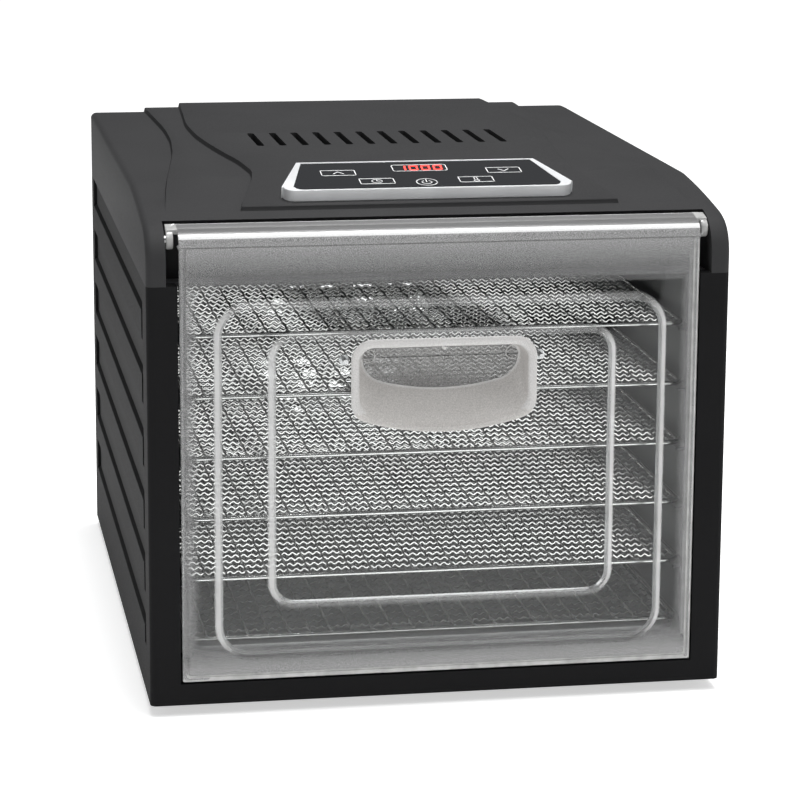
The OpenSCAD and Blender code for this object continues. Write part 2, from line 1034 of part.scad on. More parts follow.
module thermal_cutoff() {
  color("#d8d8d2")
    placed()
      block(-9, 9, baffle_y + baffle_t, baffle_y + baffle_t + 5,
        fan_z + fan_hole + 8, fan_z + fan_hole + 24);
}

module temperature_probe() {
  probe_z = z_ceiling - 12;
  color("silver")
    placed() {
      rod_y(0, baffle_y - 5, baffle_y, probe_z, 2);
      rod_y(0, baffle_y + baffle_t, baffle_y + 16, probe_z, 2);
    }
}

module cord_gland() {
  color("#101010")
    placed()
      difference() {
        union() {
          rod_y(gland_x, rear_y - 4, rear_y + rear_t, gland_z, gland_r);
          rod_y(gland_x, rear_y + rear_t, rear_y + rear_t + 4, gland_z, gland_r + 3);
        }
        rod_y(gland_x, rear_y - 5, rear_y + rear_t + 5, gland_z, gland_bore);
      }
}

module rear_screws() {
  color("silver")
    placed() {
      both_sides()
        screw_rows()
          rear_screw(hw - 9, 0, wall);
      for (x = [-1, 1] * bracket_post_x)
        rear_screw(x, fan_z, 9);
    }
}

module rear_screw(x, z, grip) {
  rod_y(x, rear_y - grip, rear_y + rear_t, z, screw_r);
  rod_y(x, rear_y + rear_t, rear_y + rear_t + screw_head_h, z, screw_head);
}

base_tub();
left_side_panel();
right_side_panel();
top_cover();
rear_cover();
chamber_floor();
chamber_ceiling();
left_rail_liner();
right_rail_liner();
rear_baffle();
fan_guard();
fan_shroud();
crumb_tray();
tray(1);  // tray_1
tray(2);  // tray_2
tray(3);  // tray_3
tray(4);  // tray_4
tray(5);  // tray_5
tray(6);  // tray_6
door_panel();
door_handle();
hinge_pins();
handle_screws();
display_bezel();
display_glass();
display_window();
led_display();
control_board();
power_board();
mains_relay();
filter_capacitor();
terminal_block();
fan_impeller();
fan_nut();
motor_shaft();
fan_motor();
motor_bushes();
motor_bracket();
heater_element();
heater_clips();
thermal_cutoff();
temperature_probe();
cord_gland();
rubber_feet();
rear_screws();
foot_screws();
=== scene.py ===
import json
import math

import bmesh
import bpy
import numpy as np
from mathutils import Matrix, Vector


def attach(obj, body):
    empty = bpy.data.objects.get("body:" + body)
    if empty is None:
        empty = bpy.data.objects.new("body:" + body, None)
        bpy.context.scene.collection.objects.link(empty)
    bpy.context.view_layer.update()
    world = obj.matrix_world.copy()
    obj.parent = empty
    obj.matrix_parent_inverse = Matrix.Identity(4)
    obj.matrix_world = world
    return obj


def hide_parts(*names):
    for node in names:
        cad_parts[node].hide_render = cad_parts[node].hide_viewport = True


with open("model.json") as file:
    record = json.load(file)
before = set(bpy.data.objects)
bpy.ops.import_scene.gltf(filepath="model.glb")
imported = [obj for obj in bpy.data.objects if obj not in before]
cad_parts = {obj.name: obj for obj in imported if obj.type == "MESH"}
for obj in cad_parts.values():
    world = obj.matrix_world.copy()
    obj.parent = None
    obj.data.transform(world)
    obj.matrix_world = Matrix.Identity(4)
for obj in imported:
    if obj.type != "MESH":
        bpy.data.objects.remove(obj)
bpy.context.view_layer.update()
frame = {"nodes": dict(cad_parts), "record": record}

# ---------- Sizes, in millimetres; y is counted back from the front of the posts ----------
FRONT_Y = -217.0
HALF_W = 172.5
BODY_D = 442.0
Z_TOP = 257.6
Z_SHOULDER = 302.5
STEP_H = 3.0
Z_PLATEAU = Z_SHOULDER + 2 * STEP_H
WALL = 3.0
SIDE_FILLET = 4.0
HINGE_Y, HINGE_Z = 12.0, 283.0
SWEEP_R = 14.6
CHEEK = 161.0
SLOPE_Y, SLOPE_LEN, TILT = 38.0, 63.0, 10.0
SLOPE_Z = Z_PLATEAU - SLOPE_LEN * math.tan(math.radians(TILT))
STEP_LINE = [(40, 14.5), (86, 19.5), (151, 28), (212, 35.5), (271, 40), (328, 41), (442, 37.5)]
PLATEAU_LINE = [(35, 57.5), (98, 73.5), (150, 70.5), (183, 65.5), (225, 60.5), (270, 56.5), (325, 55.5),
                (442, 62.5)]
VENT_COUNT, VENT_X, VENT_R = 12, 79.5, 2.3
VENT_Y = (212, 268)
PIN_BORE_R = 2.6
TRAY_HALF, TRAY_Y = 149.5, (17.5, 344.5)
TRAY_COUNT, TRAY_TOP_Z, TRAY_PITCH = 6, 224.6, 36.6
FACE = -7.0
DOOR_HALF, DOOR_LOW = 153.5, 21.0
STEP_ONE = (133.5, 34.4, 247.0)
STEP_TWO = (102.5, 65.6, 229.0)
BEND, FLANGE_TILT, FLANGE_D = 7.0, 11.0, 20.5
SHEET, WALL_FACE, RIM, FLANGE_FACE, BEND_FACE = range(5)
RECESS_LOW, RECESS_H, RECESS_W = 172.0, 50.0, 104.0
BOSS_X, BOSS_Z, BOSS_R = 43, 212.5, 3.9
GLASS_TOP = 6.6
BEZEL_U0 = 6.0
KEYS_UPPER, KEYS_LOWER, DISPLAY_U = BEZEL_U0 + 31.5, BEZEL_U0 + 15.0, BEZEL_U0 + 38.5
KEY_W, KEY_D = 20.5, 9.5
KEY_LINE, ICON_LINE, DIGIT_LINE = 0.55, 0.45, 0.95
DIGIT_W, DIGIT_H, DIGIT_PITCH = 4.4, 7.6, 7.4


def point(x, y, z):
    return (x / 1000, (y + FRONT_Y) / 1000, z / 1000)


# ---------- Materials ----------

def new_material(name):
    mat = bpy.data.materials.new(name)
    mat.use_nodes = True
    mat.node_tree.nodes.clear()
    out = mat.node_tree.nodes.new("ShaderNodeOutputMaterial")
    return mat, mat.node_tree, out


def node(tree, kind, **values):
    n = tree.nodes.new(kind)
    for key, value in values.items():
        if key in n.inputs:
            n.inputs[key].default_value = value
        else:
            setattr(n, key, value)
    return n


def noise(tree, scale, detail=2.0, stretch=(1, 1, 1)):
    """Noise in the piece's own coordinates, so that it moves with the piece."""
    coord = node(tree, "ShaderNodeTexCoord")
    mapping = node(tree, "ShaderNodeMapping")
    mapping.inputs["Scale"].default_value = stretch
    tree.links.new(coord.outputs["Object"], mapping.inputs["Vector"])
    tex = node(tree, "ShaderNodeTexNoise", Scale=scale, Detail=detail)
    tree.links.new(mapping.outputs["Vector"], tex.inputs["Vector"])
    return tex.outputs["Fac"]


def remap(tree, value, low, high, start=0.3, end=0.7):
    n = tree.nodes.new("ShaderNodeMapRange")
    n.inputs["From Min"].default_value = start
    n.inputs["From Max"].default_value = end
    n.inputs["To Min"].default_value = low
    n.inputs["To Max"].default_value = high
    tree.links.new(value, n.inputs["Value"])
    return n.outputs["Result"]


def mixed_colour(tree, factor, one, two):
    n = tree.nodes.new("ShaderNodeMix")
    n.data_type = "RGBA"
    ramp_in = [s for s in n.inputs if s.type == "RGBA"]
    ramp_in[0].default_value = (*one, 1)
    ramp_in[1].default_value = (*two, 1)
    tree.links.new(factor, n.inputs["Factor"])
    return [s for s in n.outputs if s.type == "RGBA"][0]


def grained(tree, bsdf, fine, strength):
    """Uses the fine noise as relief on a surface."""
    if strength:
        bump = node(tree, "ShaderNodeBump", Strength=strength, Distance=0.0001)
        tree.links.new(fine, bump.inputs["Height"])
        tree.links.new(bump.outputs["Normal"], bsdf.inputs["Normal"])


def layered(tree, share, below, above):
    """One shader over another; share is how much of the upper one shows."""
    mix = tree.nodes.new("ShaderNodeMixShader")
    tree.links.new(share, mix.inputs["Fac"])
    tree.links.new(below, mix.inputs[1])
    tree.links.new(above, mix.inputs[2])
    return mix.outputs["Shader"]


def axes_of(tree, output):
    """The X, Y and Z sockets of one of a piece's own vectors: its place in metres, or its normal."""
    coord = node(tree, "ShaderNodeTexCoord")
    split = node(tree, "ShaderNodeSeparateXYZ")
    tree.links.new(coord.outputs[output], split.inputs["Vector"])
    return split.outputs["X"], split.outputs["Y"], split.outputs["Z"]


def surface(name, colour, rough, grain=0.0, grain_size=0.7, spread=0.06, shade=0.12, metallic=0.0,
            stretch=(1, 1, 1), specular=0.5, coat=0.0):
    """An opaque material whose colour, roughness and relief all vary a little over the surface."""
    mat, tree, out = new_material(name)
    bsdf = node(tree, "ShaderNodeBsdfPrincipled", Metallic=metallic)
    bsdf.inputs["Specular IOR Level"].default_value = specular
    bsdf.inputs["Coat Weight"].default_value = coat
    broad = noise(tree, 22, 3)
    fine = noise(tree, 1000 / grain_size, 2, stretch)
    dark = tuple(c * (1 - shade) for c in colour)
    light = tuple(min(1.0, c * (1 + shade)) for c in colour)
    tree.links.new(mixed_colour(tree, remap(tree, broad, 0, 1), dark, light), bsdf.inputs["Base Color"])
    tree.links.new(remap(tree, fine, rough - spread, rough + spread), bsdf.inputs["Roughness"])
    grained(tree, bsdf, fine, grain)
    tree.links.new(bsdf.outputs["BSDF"], out.inputs["Surface"])
    return mat


def see_through(name, colour, rough, solid, grain=0.0, grain_size=0.6, low=0.0):
    """Frosted plastic, speckled finely between low and solid, the shares of what is behind that it hides."""
    mat, tree, out = new_material(name)
    bsdf = node(tree, "ShaderNodeBsdfPrincipled")
    fine = noise(tree, 1000 / grain_size, 2)
    dark = tuple(c * 0.88 for c in colour)
    tree.links.new(mixed_colour(tree, remap(tree, fine, 0, 1), dark, colour), bsdf.inputs["Base Color"])
    tree.links.new(remap(tree, fine, rough * 0.8, rough * 1.2), bsdf.inputs["Roughness"])
    grained(tree, bsdf, fine, grain)
    clear = node(tree, "ShaderNodeBsdfTransparent")
    clear.inputs["Color"].default_value = (0.97, 0.98, 0.98, 1)
    share = remap(tree, fine, low, solid)
    both = layered(tree, share, clear.outputs["BSDF"], bsdf.outputs["BSDF"])
    tree.links.new(both, out.inputs["Surface"])
    return mat


def clear_gloss(name):
    """Clear plastic that mirrors by Fresnel; returned with its tree, for a haze to be laid over it."""
    mat, tree, out = new_material(name)
    clear = node(tree, "ShaderNodeBsdfTransparent")
    clear.inputs["Color"].default_value = (0.965, 0.975, 0.975, 1)
    gloss = node(tree, "ShaderNodeBsdfPrincipled", Metallic=1.0)
    gloss.inputs["Base Color"].default_value = (1, 1, 1, 1)
    tree.links.new(remap(tree, noise(tree, 60, 2), 0.02, 0.05), gloss.inputs["Roughness"])
    fresnel = node(tree, "ShaderNodeFresnel", IOR=1.34)
    sheet = layered(tree, fresnel.outputs["Fac"], clear.outputs["BSDF"], gloss.outputs["BSDF"])
    return mat, tree, out, sheet


def hazed(tree, out, sheet, amount, dark, light, fine):
    """Lays a matt haze over a clear gloss surface. It serves both for frosting and for painted light."""
    haze = node(tree, "ShaderNodeBsdfPrincipled")
    tree.links.new(mixed_colour(tree, remap(tree, fine, 0, 1), dark, light), haze.inputs["Base Color"])
    tree.links.new(remap(tree, fine, 0.3, 0.5), haze.inputs["Roughness"])
    tree.links.new(layered(tree, amount, sheet, haze.outputs["BSDF"]), out.inputs["Surface"])


def math_of(tree, operation, a, b=None):
    """One step of arithmetic on numbers or sockets."""
    n = node(tree, "ShaderNodeMath", operation=operation)
    for socket, value in zip(n.inputs, (a, b)):
        if isinstance(value, (int, float)):
            socket.default_value = value
        elif value is not None:
            tree.links.new(value, socket)
    return n.outputs[0]


def clear_sheet(name):
    """The door: clear, with frosted bands below its bend and along its bottom, and a grey haze up its sides
    that is painted light, gathered along the sheet's edges.
    """
    mat, tree, out, sheet = clear_gloss(name)
    x, _, z = axes_of(tree, "Object")
    fine = noise(tree, 1700, 2)
    lower_part = remap(tree, z, 0.0, 0.42, 0.255, 0.259)
    upper_part = remap(tree, z, 0.24, 0.95, 0.259, 0.279)
    top_edge = remap(tree, z, 0.0, 1.0, 0.254, 0.26)
    top = math_of(tree, "MINIMUM", math_of(tree, "MAXIMUM", lower_part, upper_part), top_edge)
    bottom = remap(tree, z, 0.92, 0.0, 0.027, 0.046)
    # Painted light: the haze up the sides stands for light gathered along the sheet's edges.
    side = remap(tree, math_of(tree, "ABSOLUTE", x), 0.0, 0.55, 0.1425, 0.1495)
    amount = math_of(tree, "MAXIMUM", math_of(tree, "MAXIMUM", top, bottom), side)
    amount = math_of(tree, "MULTIPLY", amount, remap(tree, fine, 0.6, 1.0))
    hazed(tree, out, sheet, amount, (0.24, 0.24, 0.24), (0.46, 0.46, 0.46), fine)
    return mat


def sloped_clear(name):
    """A clear sloping wall: it gathers light from the sides, so walls that face sideways look pale."""
    mat, tree, out, sheet = clear_gloss(name)
    x, _, _ = axes_of(tree, "Normal")
    sideways = math_of(tree, "POWER", math_of(tree, "ABSOLUTE", x), 1.5)
    amount = remap(tree, sideways, 0.1, 0.72, 0.1, 0.66)
    hazed(tree, out, sheet, amount, (0.74, 0.74, 0.73), (0.82, 0.82, 0.82), noise(tree, 90, 1))
    return mat


def glowing(name, colour, strength):
    mat, tree, out = new_material(name)
    bsdf = node(tree, "ShaderNodeBsdfPrincipled")
    bsdf.inputs["Base Color"].default_value = (*colour, 1)
    bsdf.inputs["Roughness"].default_value = 0.3
    bsdf.inputs["Emission Color"].default_value = (*colour, 1)
    bsdf.inputs["Emission Strength"].default_value = strength
    tree.links.new(bsdf.outputs["BSDF"], out.inputs["Surface"])
    return mat


M = {
    "casing_plastic": surface("casing_plastic", (0.01, 0.01, 0.0105), 0.68, grain=0.35, grain_size=0.8,
                              specular=0.06, shade=0.06),
    "cover_plastic": surface("cover_plastic", (0.034, 0.034, 0.035), 0.66, grain=0.3, grain_size=0.8,
                             specular=0.1, shade=0.04),
    "liner_plastic": surface("liner_plastic", (0.016, 0.016, 0.018), 0.38, grain=0.2),
    "liner_sheet": surface("liner_sheet", (0.022, 0.022, 0.024), 0.36, grain=0.15, grain_size=1.2),
    "crumb_sheet": surface("crumb_sheet", (0.5, 0.5, 0.49), 0.34, grain=0.12, metallic=1.0,
                           stretch=(0.04, 1, 1), shade=0.05),
    "chromed_wire": surface("chromed_wire", (0.8, 0.79, 0.77), 0.2, metallic=1.0, spread=0.04, shade=0.05),
    "zinc_steel": surface("zinc_steel", (0.5, 0.5, 0.49), 0.34, grain=0.1, metallic=1.0, grain_size=2.0),
    "pin_steel": surface("pin_steel", (0.6, 0.6, 0.6), 0.25, metallic=1.0),
    "silver_paint": surface("silver_paint", (0.85, 0.86, 0.87), 0.4, grain=0.08, metallic=0.45,
                            grain_size=0.5, coat=0.2),
    "panel_glass": surface("panel_glass", (0.006, 0.007, 0.009), 0.06, spread=0.015, coat=0.6),
    "red_lens": surface("red_lens", (0.25, 0.01, 0.01), 0.2),
    "display_plastic": surface("display_plastic", (0.7, 0.69, 0.65), 0.5, grain=0.1),
    "circuit_board": surface("circuit_board", (0.02, 0.13, 0.05), 0.35, grain=0.1, grain_size=1.5),
    "relay_plastic": surface("relay_plastic", (0.02, 0.1, 0.34), 0.3),
    "capacitor_sleeve": surface("capacitor_sleeve", (0.02, 0.02, 0.024), 0.25),
    "terminal_plastic": surface("terminal_plastic", (0.03, 0.2, 0.09), 0.35),
    "bush_bronze": surface("bush_bronze", (0.56, 0.38, 0.18), 0.35, metallic=1.0, grain=0.2),
    "heater_sheath": surface("heater_sheath", (0.2, 0.17, 0.15), 0.45, metallic=0.8, grain=0.15),
    "cutoff_ceramic": surface("cutoff_ceramic", (0.75, 0.75, 0.72), 0.6, grain=0.1),
    "gland_rubber": surface("gland_rubber", (0.012, 0.012, 0.012), 0.6, grain=0.2),
    "foot_rubber": surface("foot_rubber", (0.012, 0.012, 0.012), 0.65, grain=0.3),
    "clear_plastic": clear_sheet("clear_plastic"),
    "frosted_plastic": see_through("frosted_plastic", (0.3, 0.295, 0.29), 0.35, 0.62, grain=0.6, low=0.4),
}
# Painted light: this pale, mostly opaque grey on the door's rim strips and hinge lugs stands for the light
# that clear plastic gathers along its edges.
painted_edge_light = see_through("painted_edge_light", (0.6, 0.6, 0.59), 0.15, 0.85, low=0.65, grain_size=9.0)
step_wall = sloped_clear("step_wall")
frosted_flange = see_through("frosted_flange", (0.17, 0.17, 0.17), 0.35, 0.95, low=0.8)
# Painted highlight: this near-white, nearly opaque material on the door's bend and on the flange's far lip
# stands for the light that the bend catches.
painted_bend_highlight = see_through("painted_bend_highlight", (0.8, 0.8, 0.8), 0.2, 0.95, low=0.85, grain_size=0.5)
# Lit copies of the handle's frosted plastic: the rim and the fillet carry a painted highlight, and the
# sloping floor is painted lighter for the light that falls on it from above.
frosted_rim_painted_highlight = see_through("frosted_rim_painted_highlight", (0.64, 0.63, 0.62), 0.3, 0.92, grain=0.3, low=0.8)
frosted_slope_painted_light = see_through("frosted_slope_painted_light", (0.58, 0.56, 0.54), 0.4, 0.97, grain=0.6, low=0.72)
white_print = surface("white_print", (0.9, 0.9, 0.9), 0.5)
red_light = glowing("red_light", (1.0, 0.05, 0.04), 3.0)

# ---------- Mesh helpers ----------

slot_of = {p["node"]: p["material_slot"] for p in frame["record"]["subparts"]}
body_of = {n: b for b, nodes in frame["record"]["behaviour"]["bodies"].items() for n in nodes}


def to_object(name, mesh, materials):
    obj = bpy.data.objects.new(name, mesh)
    bpy.context.scene.collection.objects.link(obj)
    mesh.materials.clear()
    for mat in materials:
        mesh.materials.append(mat)
    return obj


def smooth(mesh, angle):
    mesh.shade_smooth()
    mesh.set_sharp_from_angle(angle=math.radians(angle))


def build(name, verts, faces, materials, angle=35):
    mesh = bpy.data.meshes.new(name)
    mesh.from_pydata([point(*v) for v in verts], [], faces)
    mesh.validate()
    bm = bmesh.new()
    bm.from_mesh(mesh)
    bmesh.ops.recalc_face_normals(bm, faces=bm.faces)
    bm.to_mesh(mesh)
    bm.free()
    smooth(mesh, angle)
    return to_object(name, mesh, materials)


def stands_for(obj, *names):
    """Makes a piece ride with the CAD nodes that it is seen in place of."""
    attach(obj, body_of[names[0]])
    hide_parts(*names)


def applied(obj):
    """Bakes the modifiers into the mesh."""
    graph = bpy.context.evaluated_depsgraph_get()
    mesh = bpy.data.meshes.new_from_object(obj.evaluated_get(graph))
    obj.modifiers.clear()
    obj.data = mesh


def softened(name, source, width, segments=2, angle=30):
    """A copy of a CAD node with its edges rounded off."""
    mesh = frame["nodes"][source].data.copy()
    bm = bmesh.new()
    bm.from_mesh(mesh)
    bmesh.ops.remove_doubles(bm, verts=bm.verts, dist=1e-6)
    bmesh.ops.dissolve_limit(bm, angle_limit=math.radians(0.6), verts=bm.verts, edges=bm.edges)
    bm.to_mesh(mesh)
    bm.free()
    mesh.name = name
    obj = to_object(name, mesh, [M[slot_of[source]]])
    bevel = obj.modifiers.new("edges", "BEVEL")
    bevel.width = width / 1000
    bevel.segments = segments
    bevel.limit_method = "ANGLE"
    bevel.angle_limit = math.radians(angle)
    bevel.miter_outer = "MITER_ARC"
    applied(obj)
    smooth(obj.data, 40)
    even = obj.modifiers.new("normals", "WEIGHTED_NORMAL")
    even.keep_sharp = True
    applied(obj)
    stands_for(obj, source)
    return obj


def cut(obj, cutter):
    mod = obj.modifiers.new("cut", "BOOLEAN")
    mod.operation = "DIFFERENCE"
    mod.solver = "EXACT"
    mod.object = cutter
    applied(obj)
    bpy.data.objects.remove(cutter)


def extruded(name, outline, x0, x1):
    """A solid with the (y, z) outline, from x0 to x1."""
    n = len(outline)
    verts = [(x, y, z) for x in (x0, x1) for y, z in outline]
    faces = [tuple(range(n)), tuple(range(2 * n - 1, n - 1, -1))]
    faces += [(i, (i + 1) % n, n + (i + 1) % n, n + i) for i in range(n)]
    return build(name, verts, faces, [])


def tube(path, radius, side, sides=6, closed=False):
    """Vertices and faces of a round wire along path; side is a direction square to the whole path."""
    path = np.asarray(path, float)
    if closed:
        step = np.roll(path, -1, 0) - np.roll(path, 1, 0)
    else:
        step = np.gradient(path, axis=0)
    step /= np.linalg.norm(step, axis=1)[:, None]
    across = np.cross(step, side)
    turn = np.linspace(0, 2 * np.pi, sides, endpoint=False)
    rings = path[:, None] + radius * (np.cos(turn)[None, :, None] * np.asarray(side, float)
                                      + np.sin(turn)[None, :, None] * across[:, None])
    n = len(path)
    faces = []
    for i in range(n if closed else n - 1):
        a, b = i * sides, ((i + 1) % n) * sides
        faces += [(a + k, a + (k + 1) % sides, b + (k + 1) % sides, b + k) for k in range(sides)]
    if not closed:
        faces += [tuple(range(sides)), tuple((n - 1) * sides + k for k in reversed(range(sides)))]
    return rings.reshape(-1, 3).tolist(), faces


def joined(parts):
    verts, faces = [], []
    for v, f in parts:
        faces += [tuple(i + len(verts) for i in face) for face in f]
        verts += v
    return verts, faces


def bezier(a, b, c, count):
    t = np.linspace(0, 1, count)[:, None]
    a, b, c = (np.array(p, float) for p in (a, b, c))
    return (1 - t) ** 2 * a + 2 * t * (1 - t) * b + t ** 2 * c


# ---------- Top cover ----------

def inset_at(line, y):
    """A smooth curve through the outline's insets."""
    ys, insets = zip(*line)
    return float(np.mean(np.interp(y + np.linspace(-14, 14, 15), ys, insets)))


def rise(y):
    return min(1.0, max(0.0, (y - SLOPE_Y) / SLOPE_LEN))


def cover_rows():
    """The cover's side outline as (y, z, share of the plateau's front face, outward normal)."""
    nose = bezier((0, Z_TOP + 11.9), (1.5, Z_TOP + 29.8), (22, Z_TOP + 34.2), 16)
    brow = bezier(nose[-1], (66, Z_SHOULDER - 3), (105, Z_SHOULDER), 18)
    top = np.vstack([nose, brow[1:], [[y, Z_SHOULDER] for y in range(110, 440, 10)]])
    breaks = [(SLOPE_Y - 0.5, 0.0), (SLOPE_Y - 0.1, 0.2), (SLOPE_Y + 0.2, 0.8), (SLOPE_Y + 0.9, 1.0)]
    rows = []
    for y, z in top:
        if not breaks[0][0] - 1 < y < breaks[-1][0] + 1:
            rows.append((y, z, float(y > SLOPE_Y)))
    rows += [(y, float(np.interp(y, top[:, 0], top[:, 1])), share) for y, share in breaks]
    rows.sort()
    rows = [(0.0, Z_TOP, 0.0)] + rows
    line = np.array([r[:2] for r in rows])
    step = np.gradient(line, axis=0)
    step /= np.linalg.norm(step, axis=1)[:, None]
    normals = [(-dz, dy) for dy, dz in step]
    normals[0] = (-1.0, 0.0)
    rows = [(y, z, share, n) for (y, z, share), n in zip(rows, normals)]
    for turn in (30, 60, 90):
        a = math.radians(turn)
        rows.append((BODY_D - WALL + WALL * math.sin(a), Z_SHOULDER - WALL * (1 - math.cos(a)), 1.0,
                     (math.sin(a), math.cos(a))))
    rows.append((BODY_D, Z_TOP, -1.0, (1.0, 0.0)))
    return rows


def cover_columns(y):
    """(x, share of the step, share of the plateau, inset of the side's fillet), from the middle outwards."""
    plateau = HALF_W - inset_at(PLATEAU_LINE, max(y, SLOPE_Y))
    low = HALF_W - inset_at(STEP_LINE, max(y, 40))
    wall = [(1.3, 1.0), (0.8, 0.9), (0.45, 0.5), (0.15, 0.08), (0.0, 0.0)]
    columns = [(0.0, 1, 1, 0), (plateau * 0.5, 1, 1, 0)]
    columns += [(plateau - back, 1, share, 0) for back, share in wall]
    columns += [((plateau + low) / 2, 1, 0, 0)]
    columns += [(low - back, share, 0, 0) for back, share in wall]
    for turn in (0, 22.5, 45, 67.5, 90):
        a = math.radians(turn)
        columns.append((HALF_W - SIDE_FILLET * (1 - math.sin(a)), 0, 0, SIDE_FILLET * (1 - math.cos(a))))
    return columns


def top_cover():
    rows = cover_rows()
    verts, width = [], 0
    for y, z, share, (ny, nz) in rows:
        half = cover_columns(min(y, BODY_D))
        columns = [(-c[0], *c[1:]) for c in reversed(half)] + half[1:]
        width = len(columns)
        drop = Z_SHOULDER - z if y > BODY_D - WALL - 0.01 else 0.0
        slope = min(Z_PLATEAU, SLOPE_Z + (y - SLOPE_Y) * math.tan(math.radians(TILT)))
        for x, on_step, on_plateau, inset in columns:
            raised = STEP_H * rise(y) * on_step
            if share >= 0:
                raised += on_plateau * share * (slope - drop - z - STEP_H * rise(y))
            else:
                raised = 0.0
            verts.append((x, y - inset * ny, z + raised - inset * nz))
    faces = []
    for i in range(len(rows) - 1):
        for j in range(width - 1):
            a = i * width + j
            faces.append((a, a + 1, a + width + 1, a + width))
    last = (len(rows) - 1) * width
    faces.append(tuple(range(width)) + tuple(last + j for j in reversed(range(width))))
    faces.append(tuple(i * width for i in range(len(rows))))
    faces.append(tuple(i * width + width - 1 for i in reversed(range(len(rows)))))
    cover = build("cover_shell", verts, faces, [M["cover_plastic"]])
    arc = [(HINGE_Y + SWEEP_R * math.cos(a), HINGE_Z + SWEEP_R * math.sin(a))
           for a in np.radians(np.linspace(0, 90, 19))]
    inner = HINGE_Y + SWEEP_R
    below, above = Z_TOP - 5, Z_PLATEAU + 21.5
    notch = [(-5, below), (inner, below), *arc, (HINGE_Y, above), (-5, above)]
    cut(cover, extruded("notch", notch, -CHEEK, CHEEK))
    inner += WALL
    back = BODY_D - 12
    room = [(inner, below), (back, below), (back, Z_SHOULDER - WALL), (105, Z_SHOULDER - 5),
            (60, Z_SHOULDER - 9), (inner, Z_TOP + 28)]
    cut(cover, extruded("room", room, -HALF_W + WALL, HALF_W - WALL))
    slots = []
    for i in range(VENT_COUNT):
        x = -VENT_X + i * 2 * VENT_X / (VENT_COUNT - 1)
        ring = []
        for y, start in ((VENT_Y[1], 0), (VENT_Y[0], 180)):
            for a in np.radians(np.linspace(start, start + 180, 13)):
                ring.append((x + VENT_R * math.cos(a), y + VENT_R * math.sin(a)))
        n = len(ring)
        v = [(*p, z) for z in (Z_SHOULDER - 12, Z_PLATEAU + 10) for p in ring]
        f = [tuple(range(n)), tuple(range(2 * n - 1, n - 1, -1))]
        f += [(k, (k + 1) % n, n + (k + 1) % n, n + k) for k in range(n)]
        slots.append((v, f))
    cut(cover, build("slots", *joined(slots), []))
    bores = []
    for side in (-1, 1):
        ends = [(side * (CHEEK - 3), HINGE_Y, HINGE_Z), (side * (CHEEK + 7), HINGE_Y, HINGE_Z)]
        bores.append(tube(ends, PIN_BORE_R, (0, 1, 0), 24))
    cut(cover, build("bores", *joined(bores), []))
    smooth(cover.data, 34)
    stands_for(cover, "top_cover")


# ---------- Trays ----------

def rounded_loop(x, y0, y1, r, z, steps=8):
    """A flat rounded rectangle from -x to x and from y0 to y1."""
    points = []
    corners = ((x - r, y1 - r, 0), (-x + r, y1 - r, 90), (-x + r, y0 + r, 180), (x - r, y0 + r, 270))
    for cx, cy, start in corners:
        for a in np.radians(np.linspace(start, start + 90, steps)):
            points.append((cx + r * math.cos(a), cy + r * math.sin(a), z))
    return points


def tray_mesh(z):
    """A frame wire with crimped wires woven across it, the lengthwise ones bent over the frame's ends."""
    half = TRAY_HALF
    y0, y1 = TRAY_Y
    parts = [tube(rounded_loop(half, y0, y1, 8, z), 1.5, (0, 0, 1), 12, closed=True)]
    columns, rows = 23, 27
    pitch_x, pitch_y = 2 * half / (columns + 1), (y1 - y0) / (rows + 1)
    lift = z + 0.35
    for j in range(1, rows + 1):
        y = y0 + j * pitch_y
        x = np.linspace(-half, half, 24 * 12 + 1)
        wave = 0.8 * np.cos(5 * np.pi * (x + half) / pitch_x + j * np.pi)
        parts.append(tube(np.column_stack([x, np.full_like(x, y), lift + wave]), 0.6, (0, 1, 0), 5))
    for i in range(1, columns + 1):
        x = -half + i * pitch_x
        y = np.linspace(y0 - 0.6, y1 + 0.6, 28 * 4 + 1)
        wave = -0.4 * np.cos(np.pi * (y - y0) / pitch_y + i * np.pi)
        over = np.maximum(0, 1 - np.minimum(y - y[0], y[-1] - y) / 5)
        height = lift + wave * (1 - over) + 1.35 * over
        parts.append(tube(np.column_stack([np.full_like(y, x), y, height]), 0.7, (1, 0, 0), 6))
    return joined(parts)


def trays():
    shared = None
    for k in range(1, TRAY_COUNT + 1):
        name = f"wire_tray_{k}"
        if shared is None:
            obj = build(name, *tray_mesh(TRAY_TOP_Z), [M["chromed_wire"]], 60)
            shared = obj.data
        else:
            obj = bpy.data.objects.new(name, shared)
            bpy.context.scene.collection.objects.link(obj)
            obj.location.z = -(k - 1) * TRAY_PITCH / 1000
        stands_for(obj, f"tray_{k}")


# ---------- Door ----------

def sheet_loop(half, low, high, r, y):
    """A rounded rectangle with as many points, in the same order, as scoop_loop has."""
    points = [(x, y, low) for x in np.linspace(-half + r, half - r, 25)]
    for cx, cz, start, count in ((half - r, low + r, -90, 9), (half - r, high - r, 0, 11),
                                 (-half + r, high - r, 90, 11), (-half + r, low + r, 180, 9)):
        turn = np.linspace(start, start + 90, count + 1)
        turn = turn[1:] if start < 0 else turn[:-1]
        points += [(cx + r * math.cos(a), y, cz + r * math.sin(a)) for a in np.radians(turn)]
    return points


def step_loops(half, low, high, r, y):
    """One stepped-out panel's sloping wall, with a fillet at its foot and at its brow."""
    profile = [(1.2, 0.0), (0.5, -0.2), (-0.2, -0.8), (-2.0, -2.7), (-2.7, -3.3), (-3.6, -3.5)]
    return [sheet_loop(half + out, low - out, high + out, r + out, y + back) for out, back in profile]


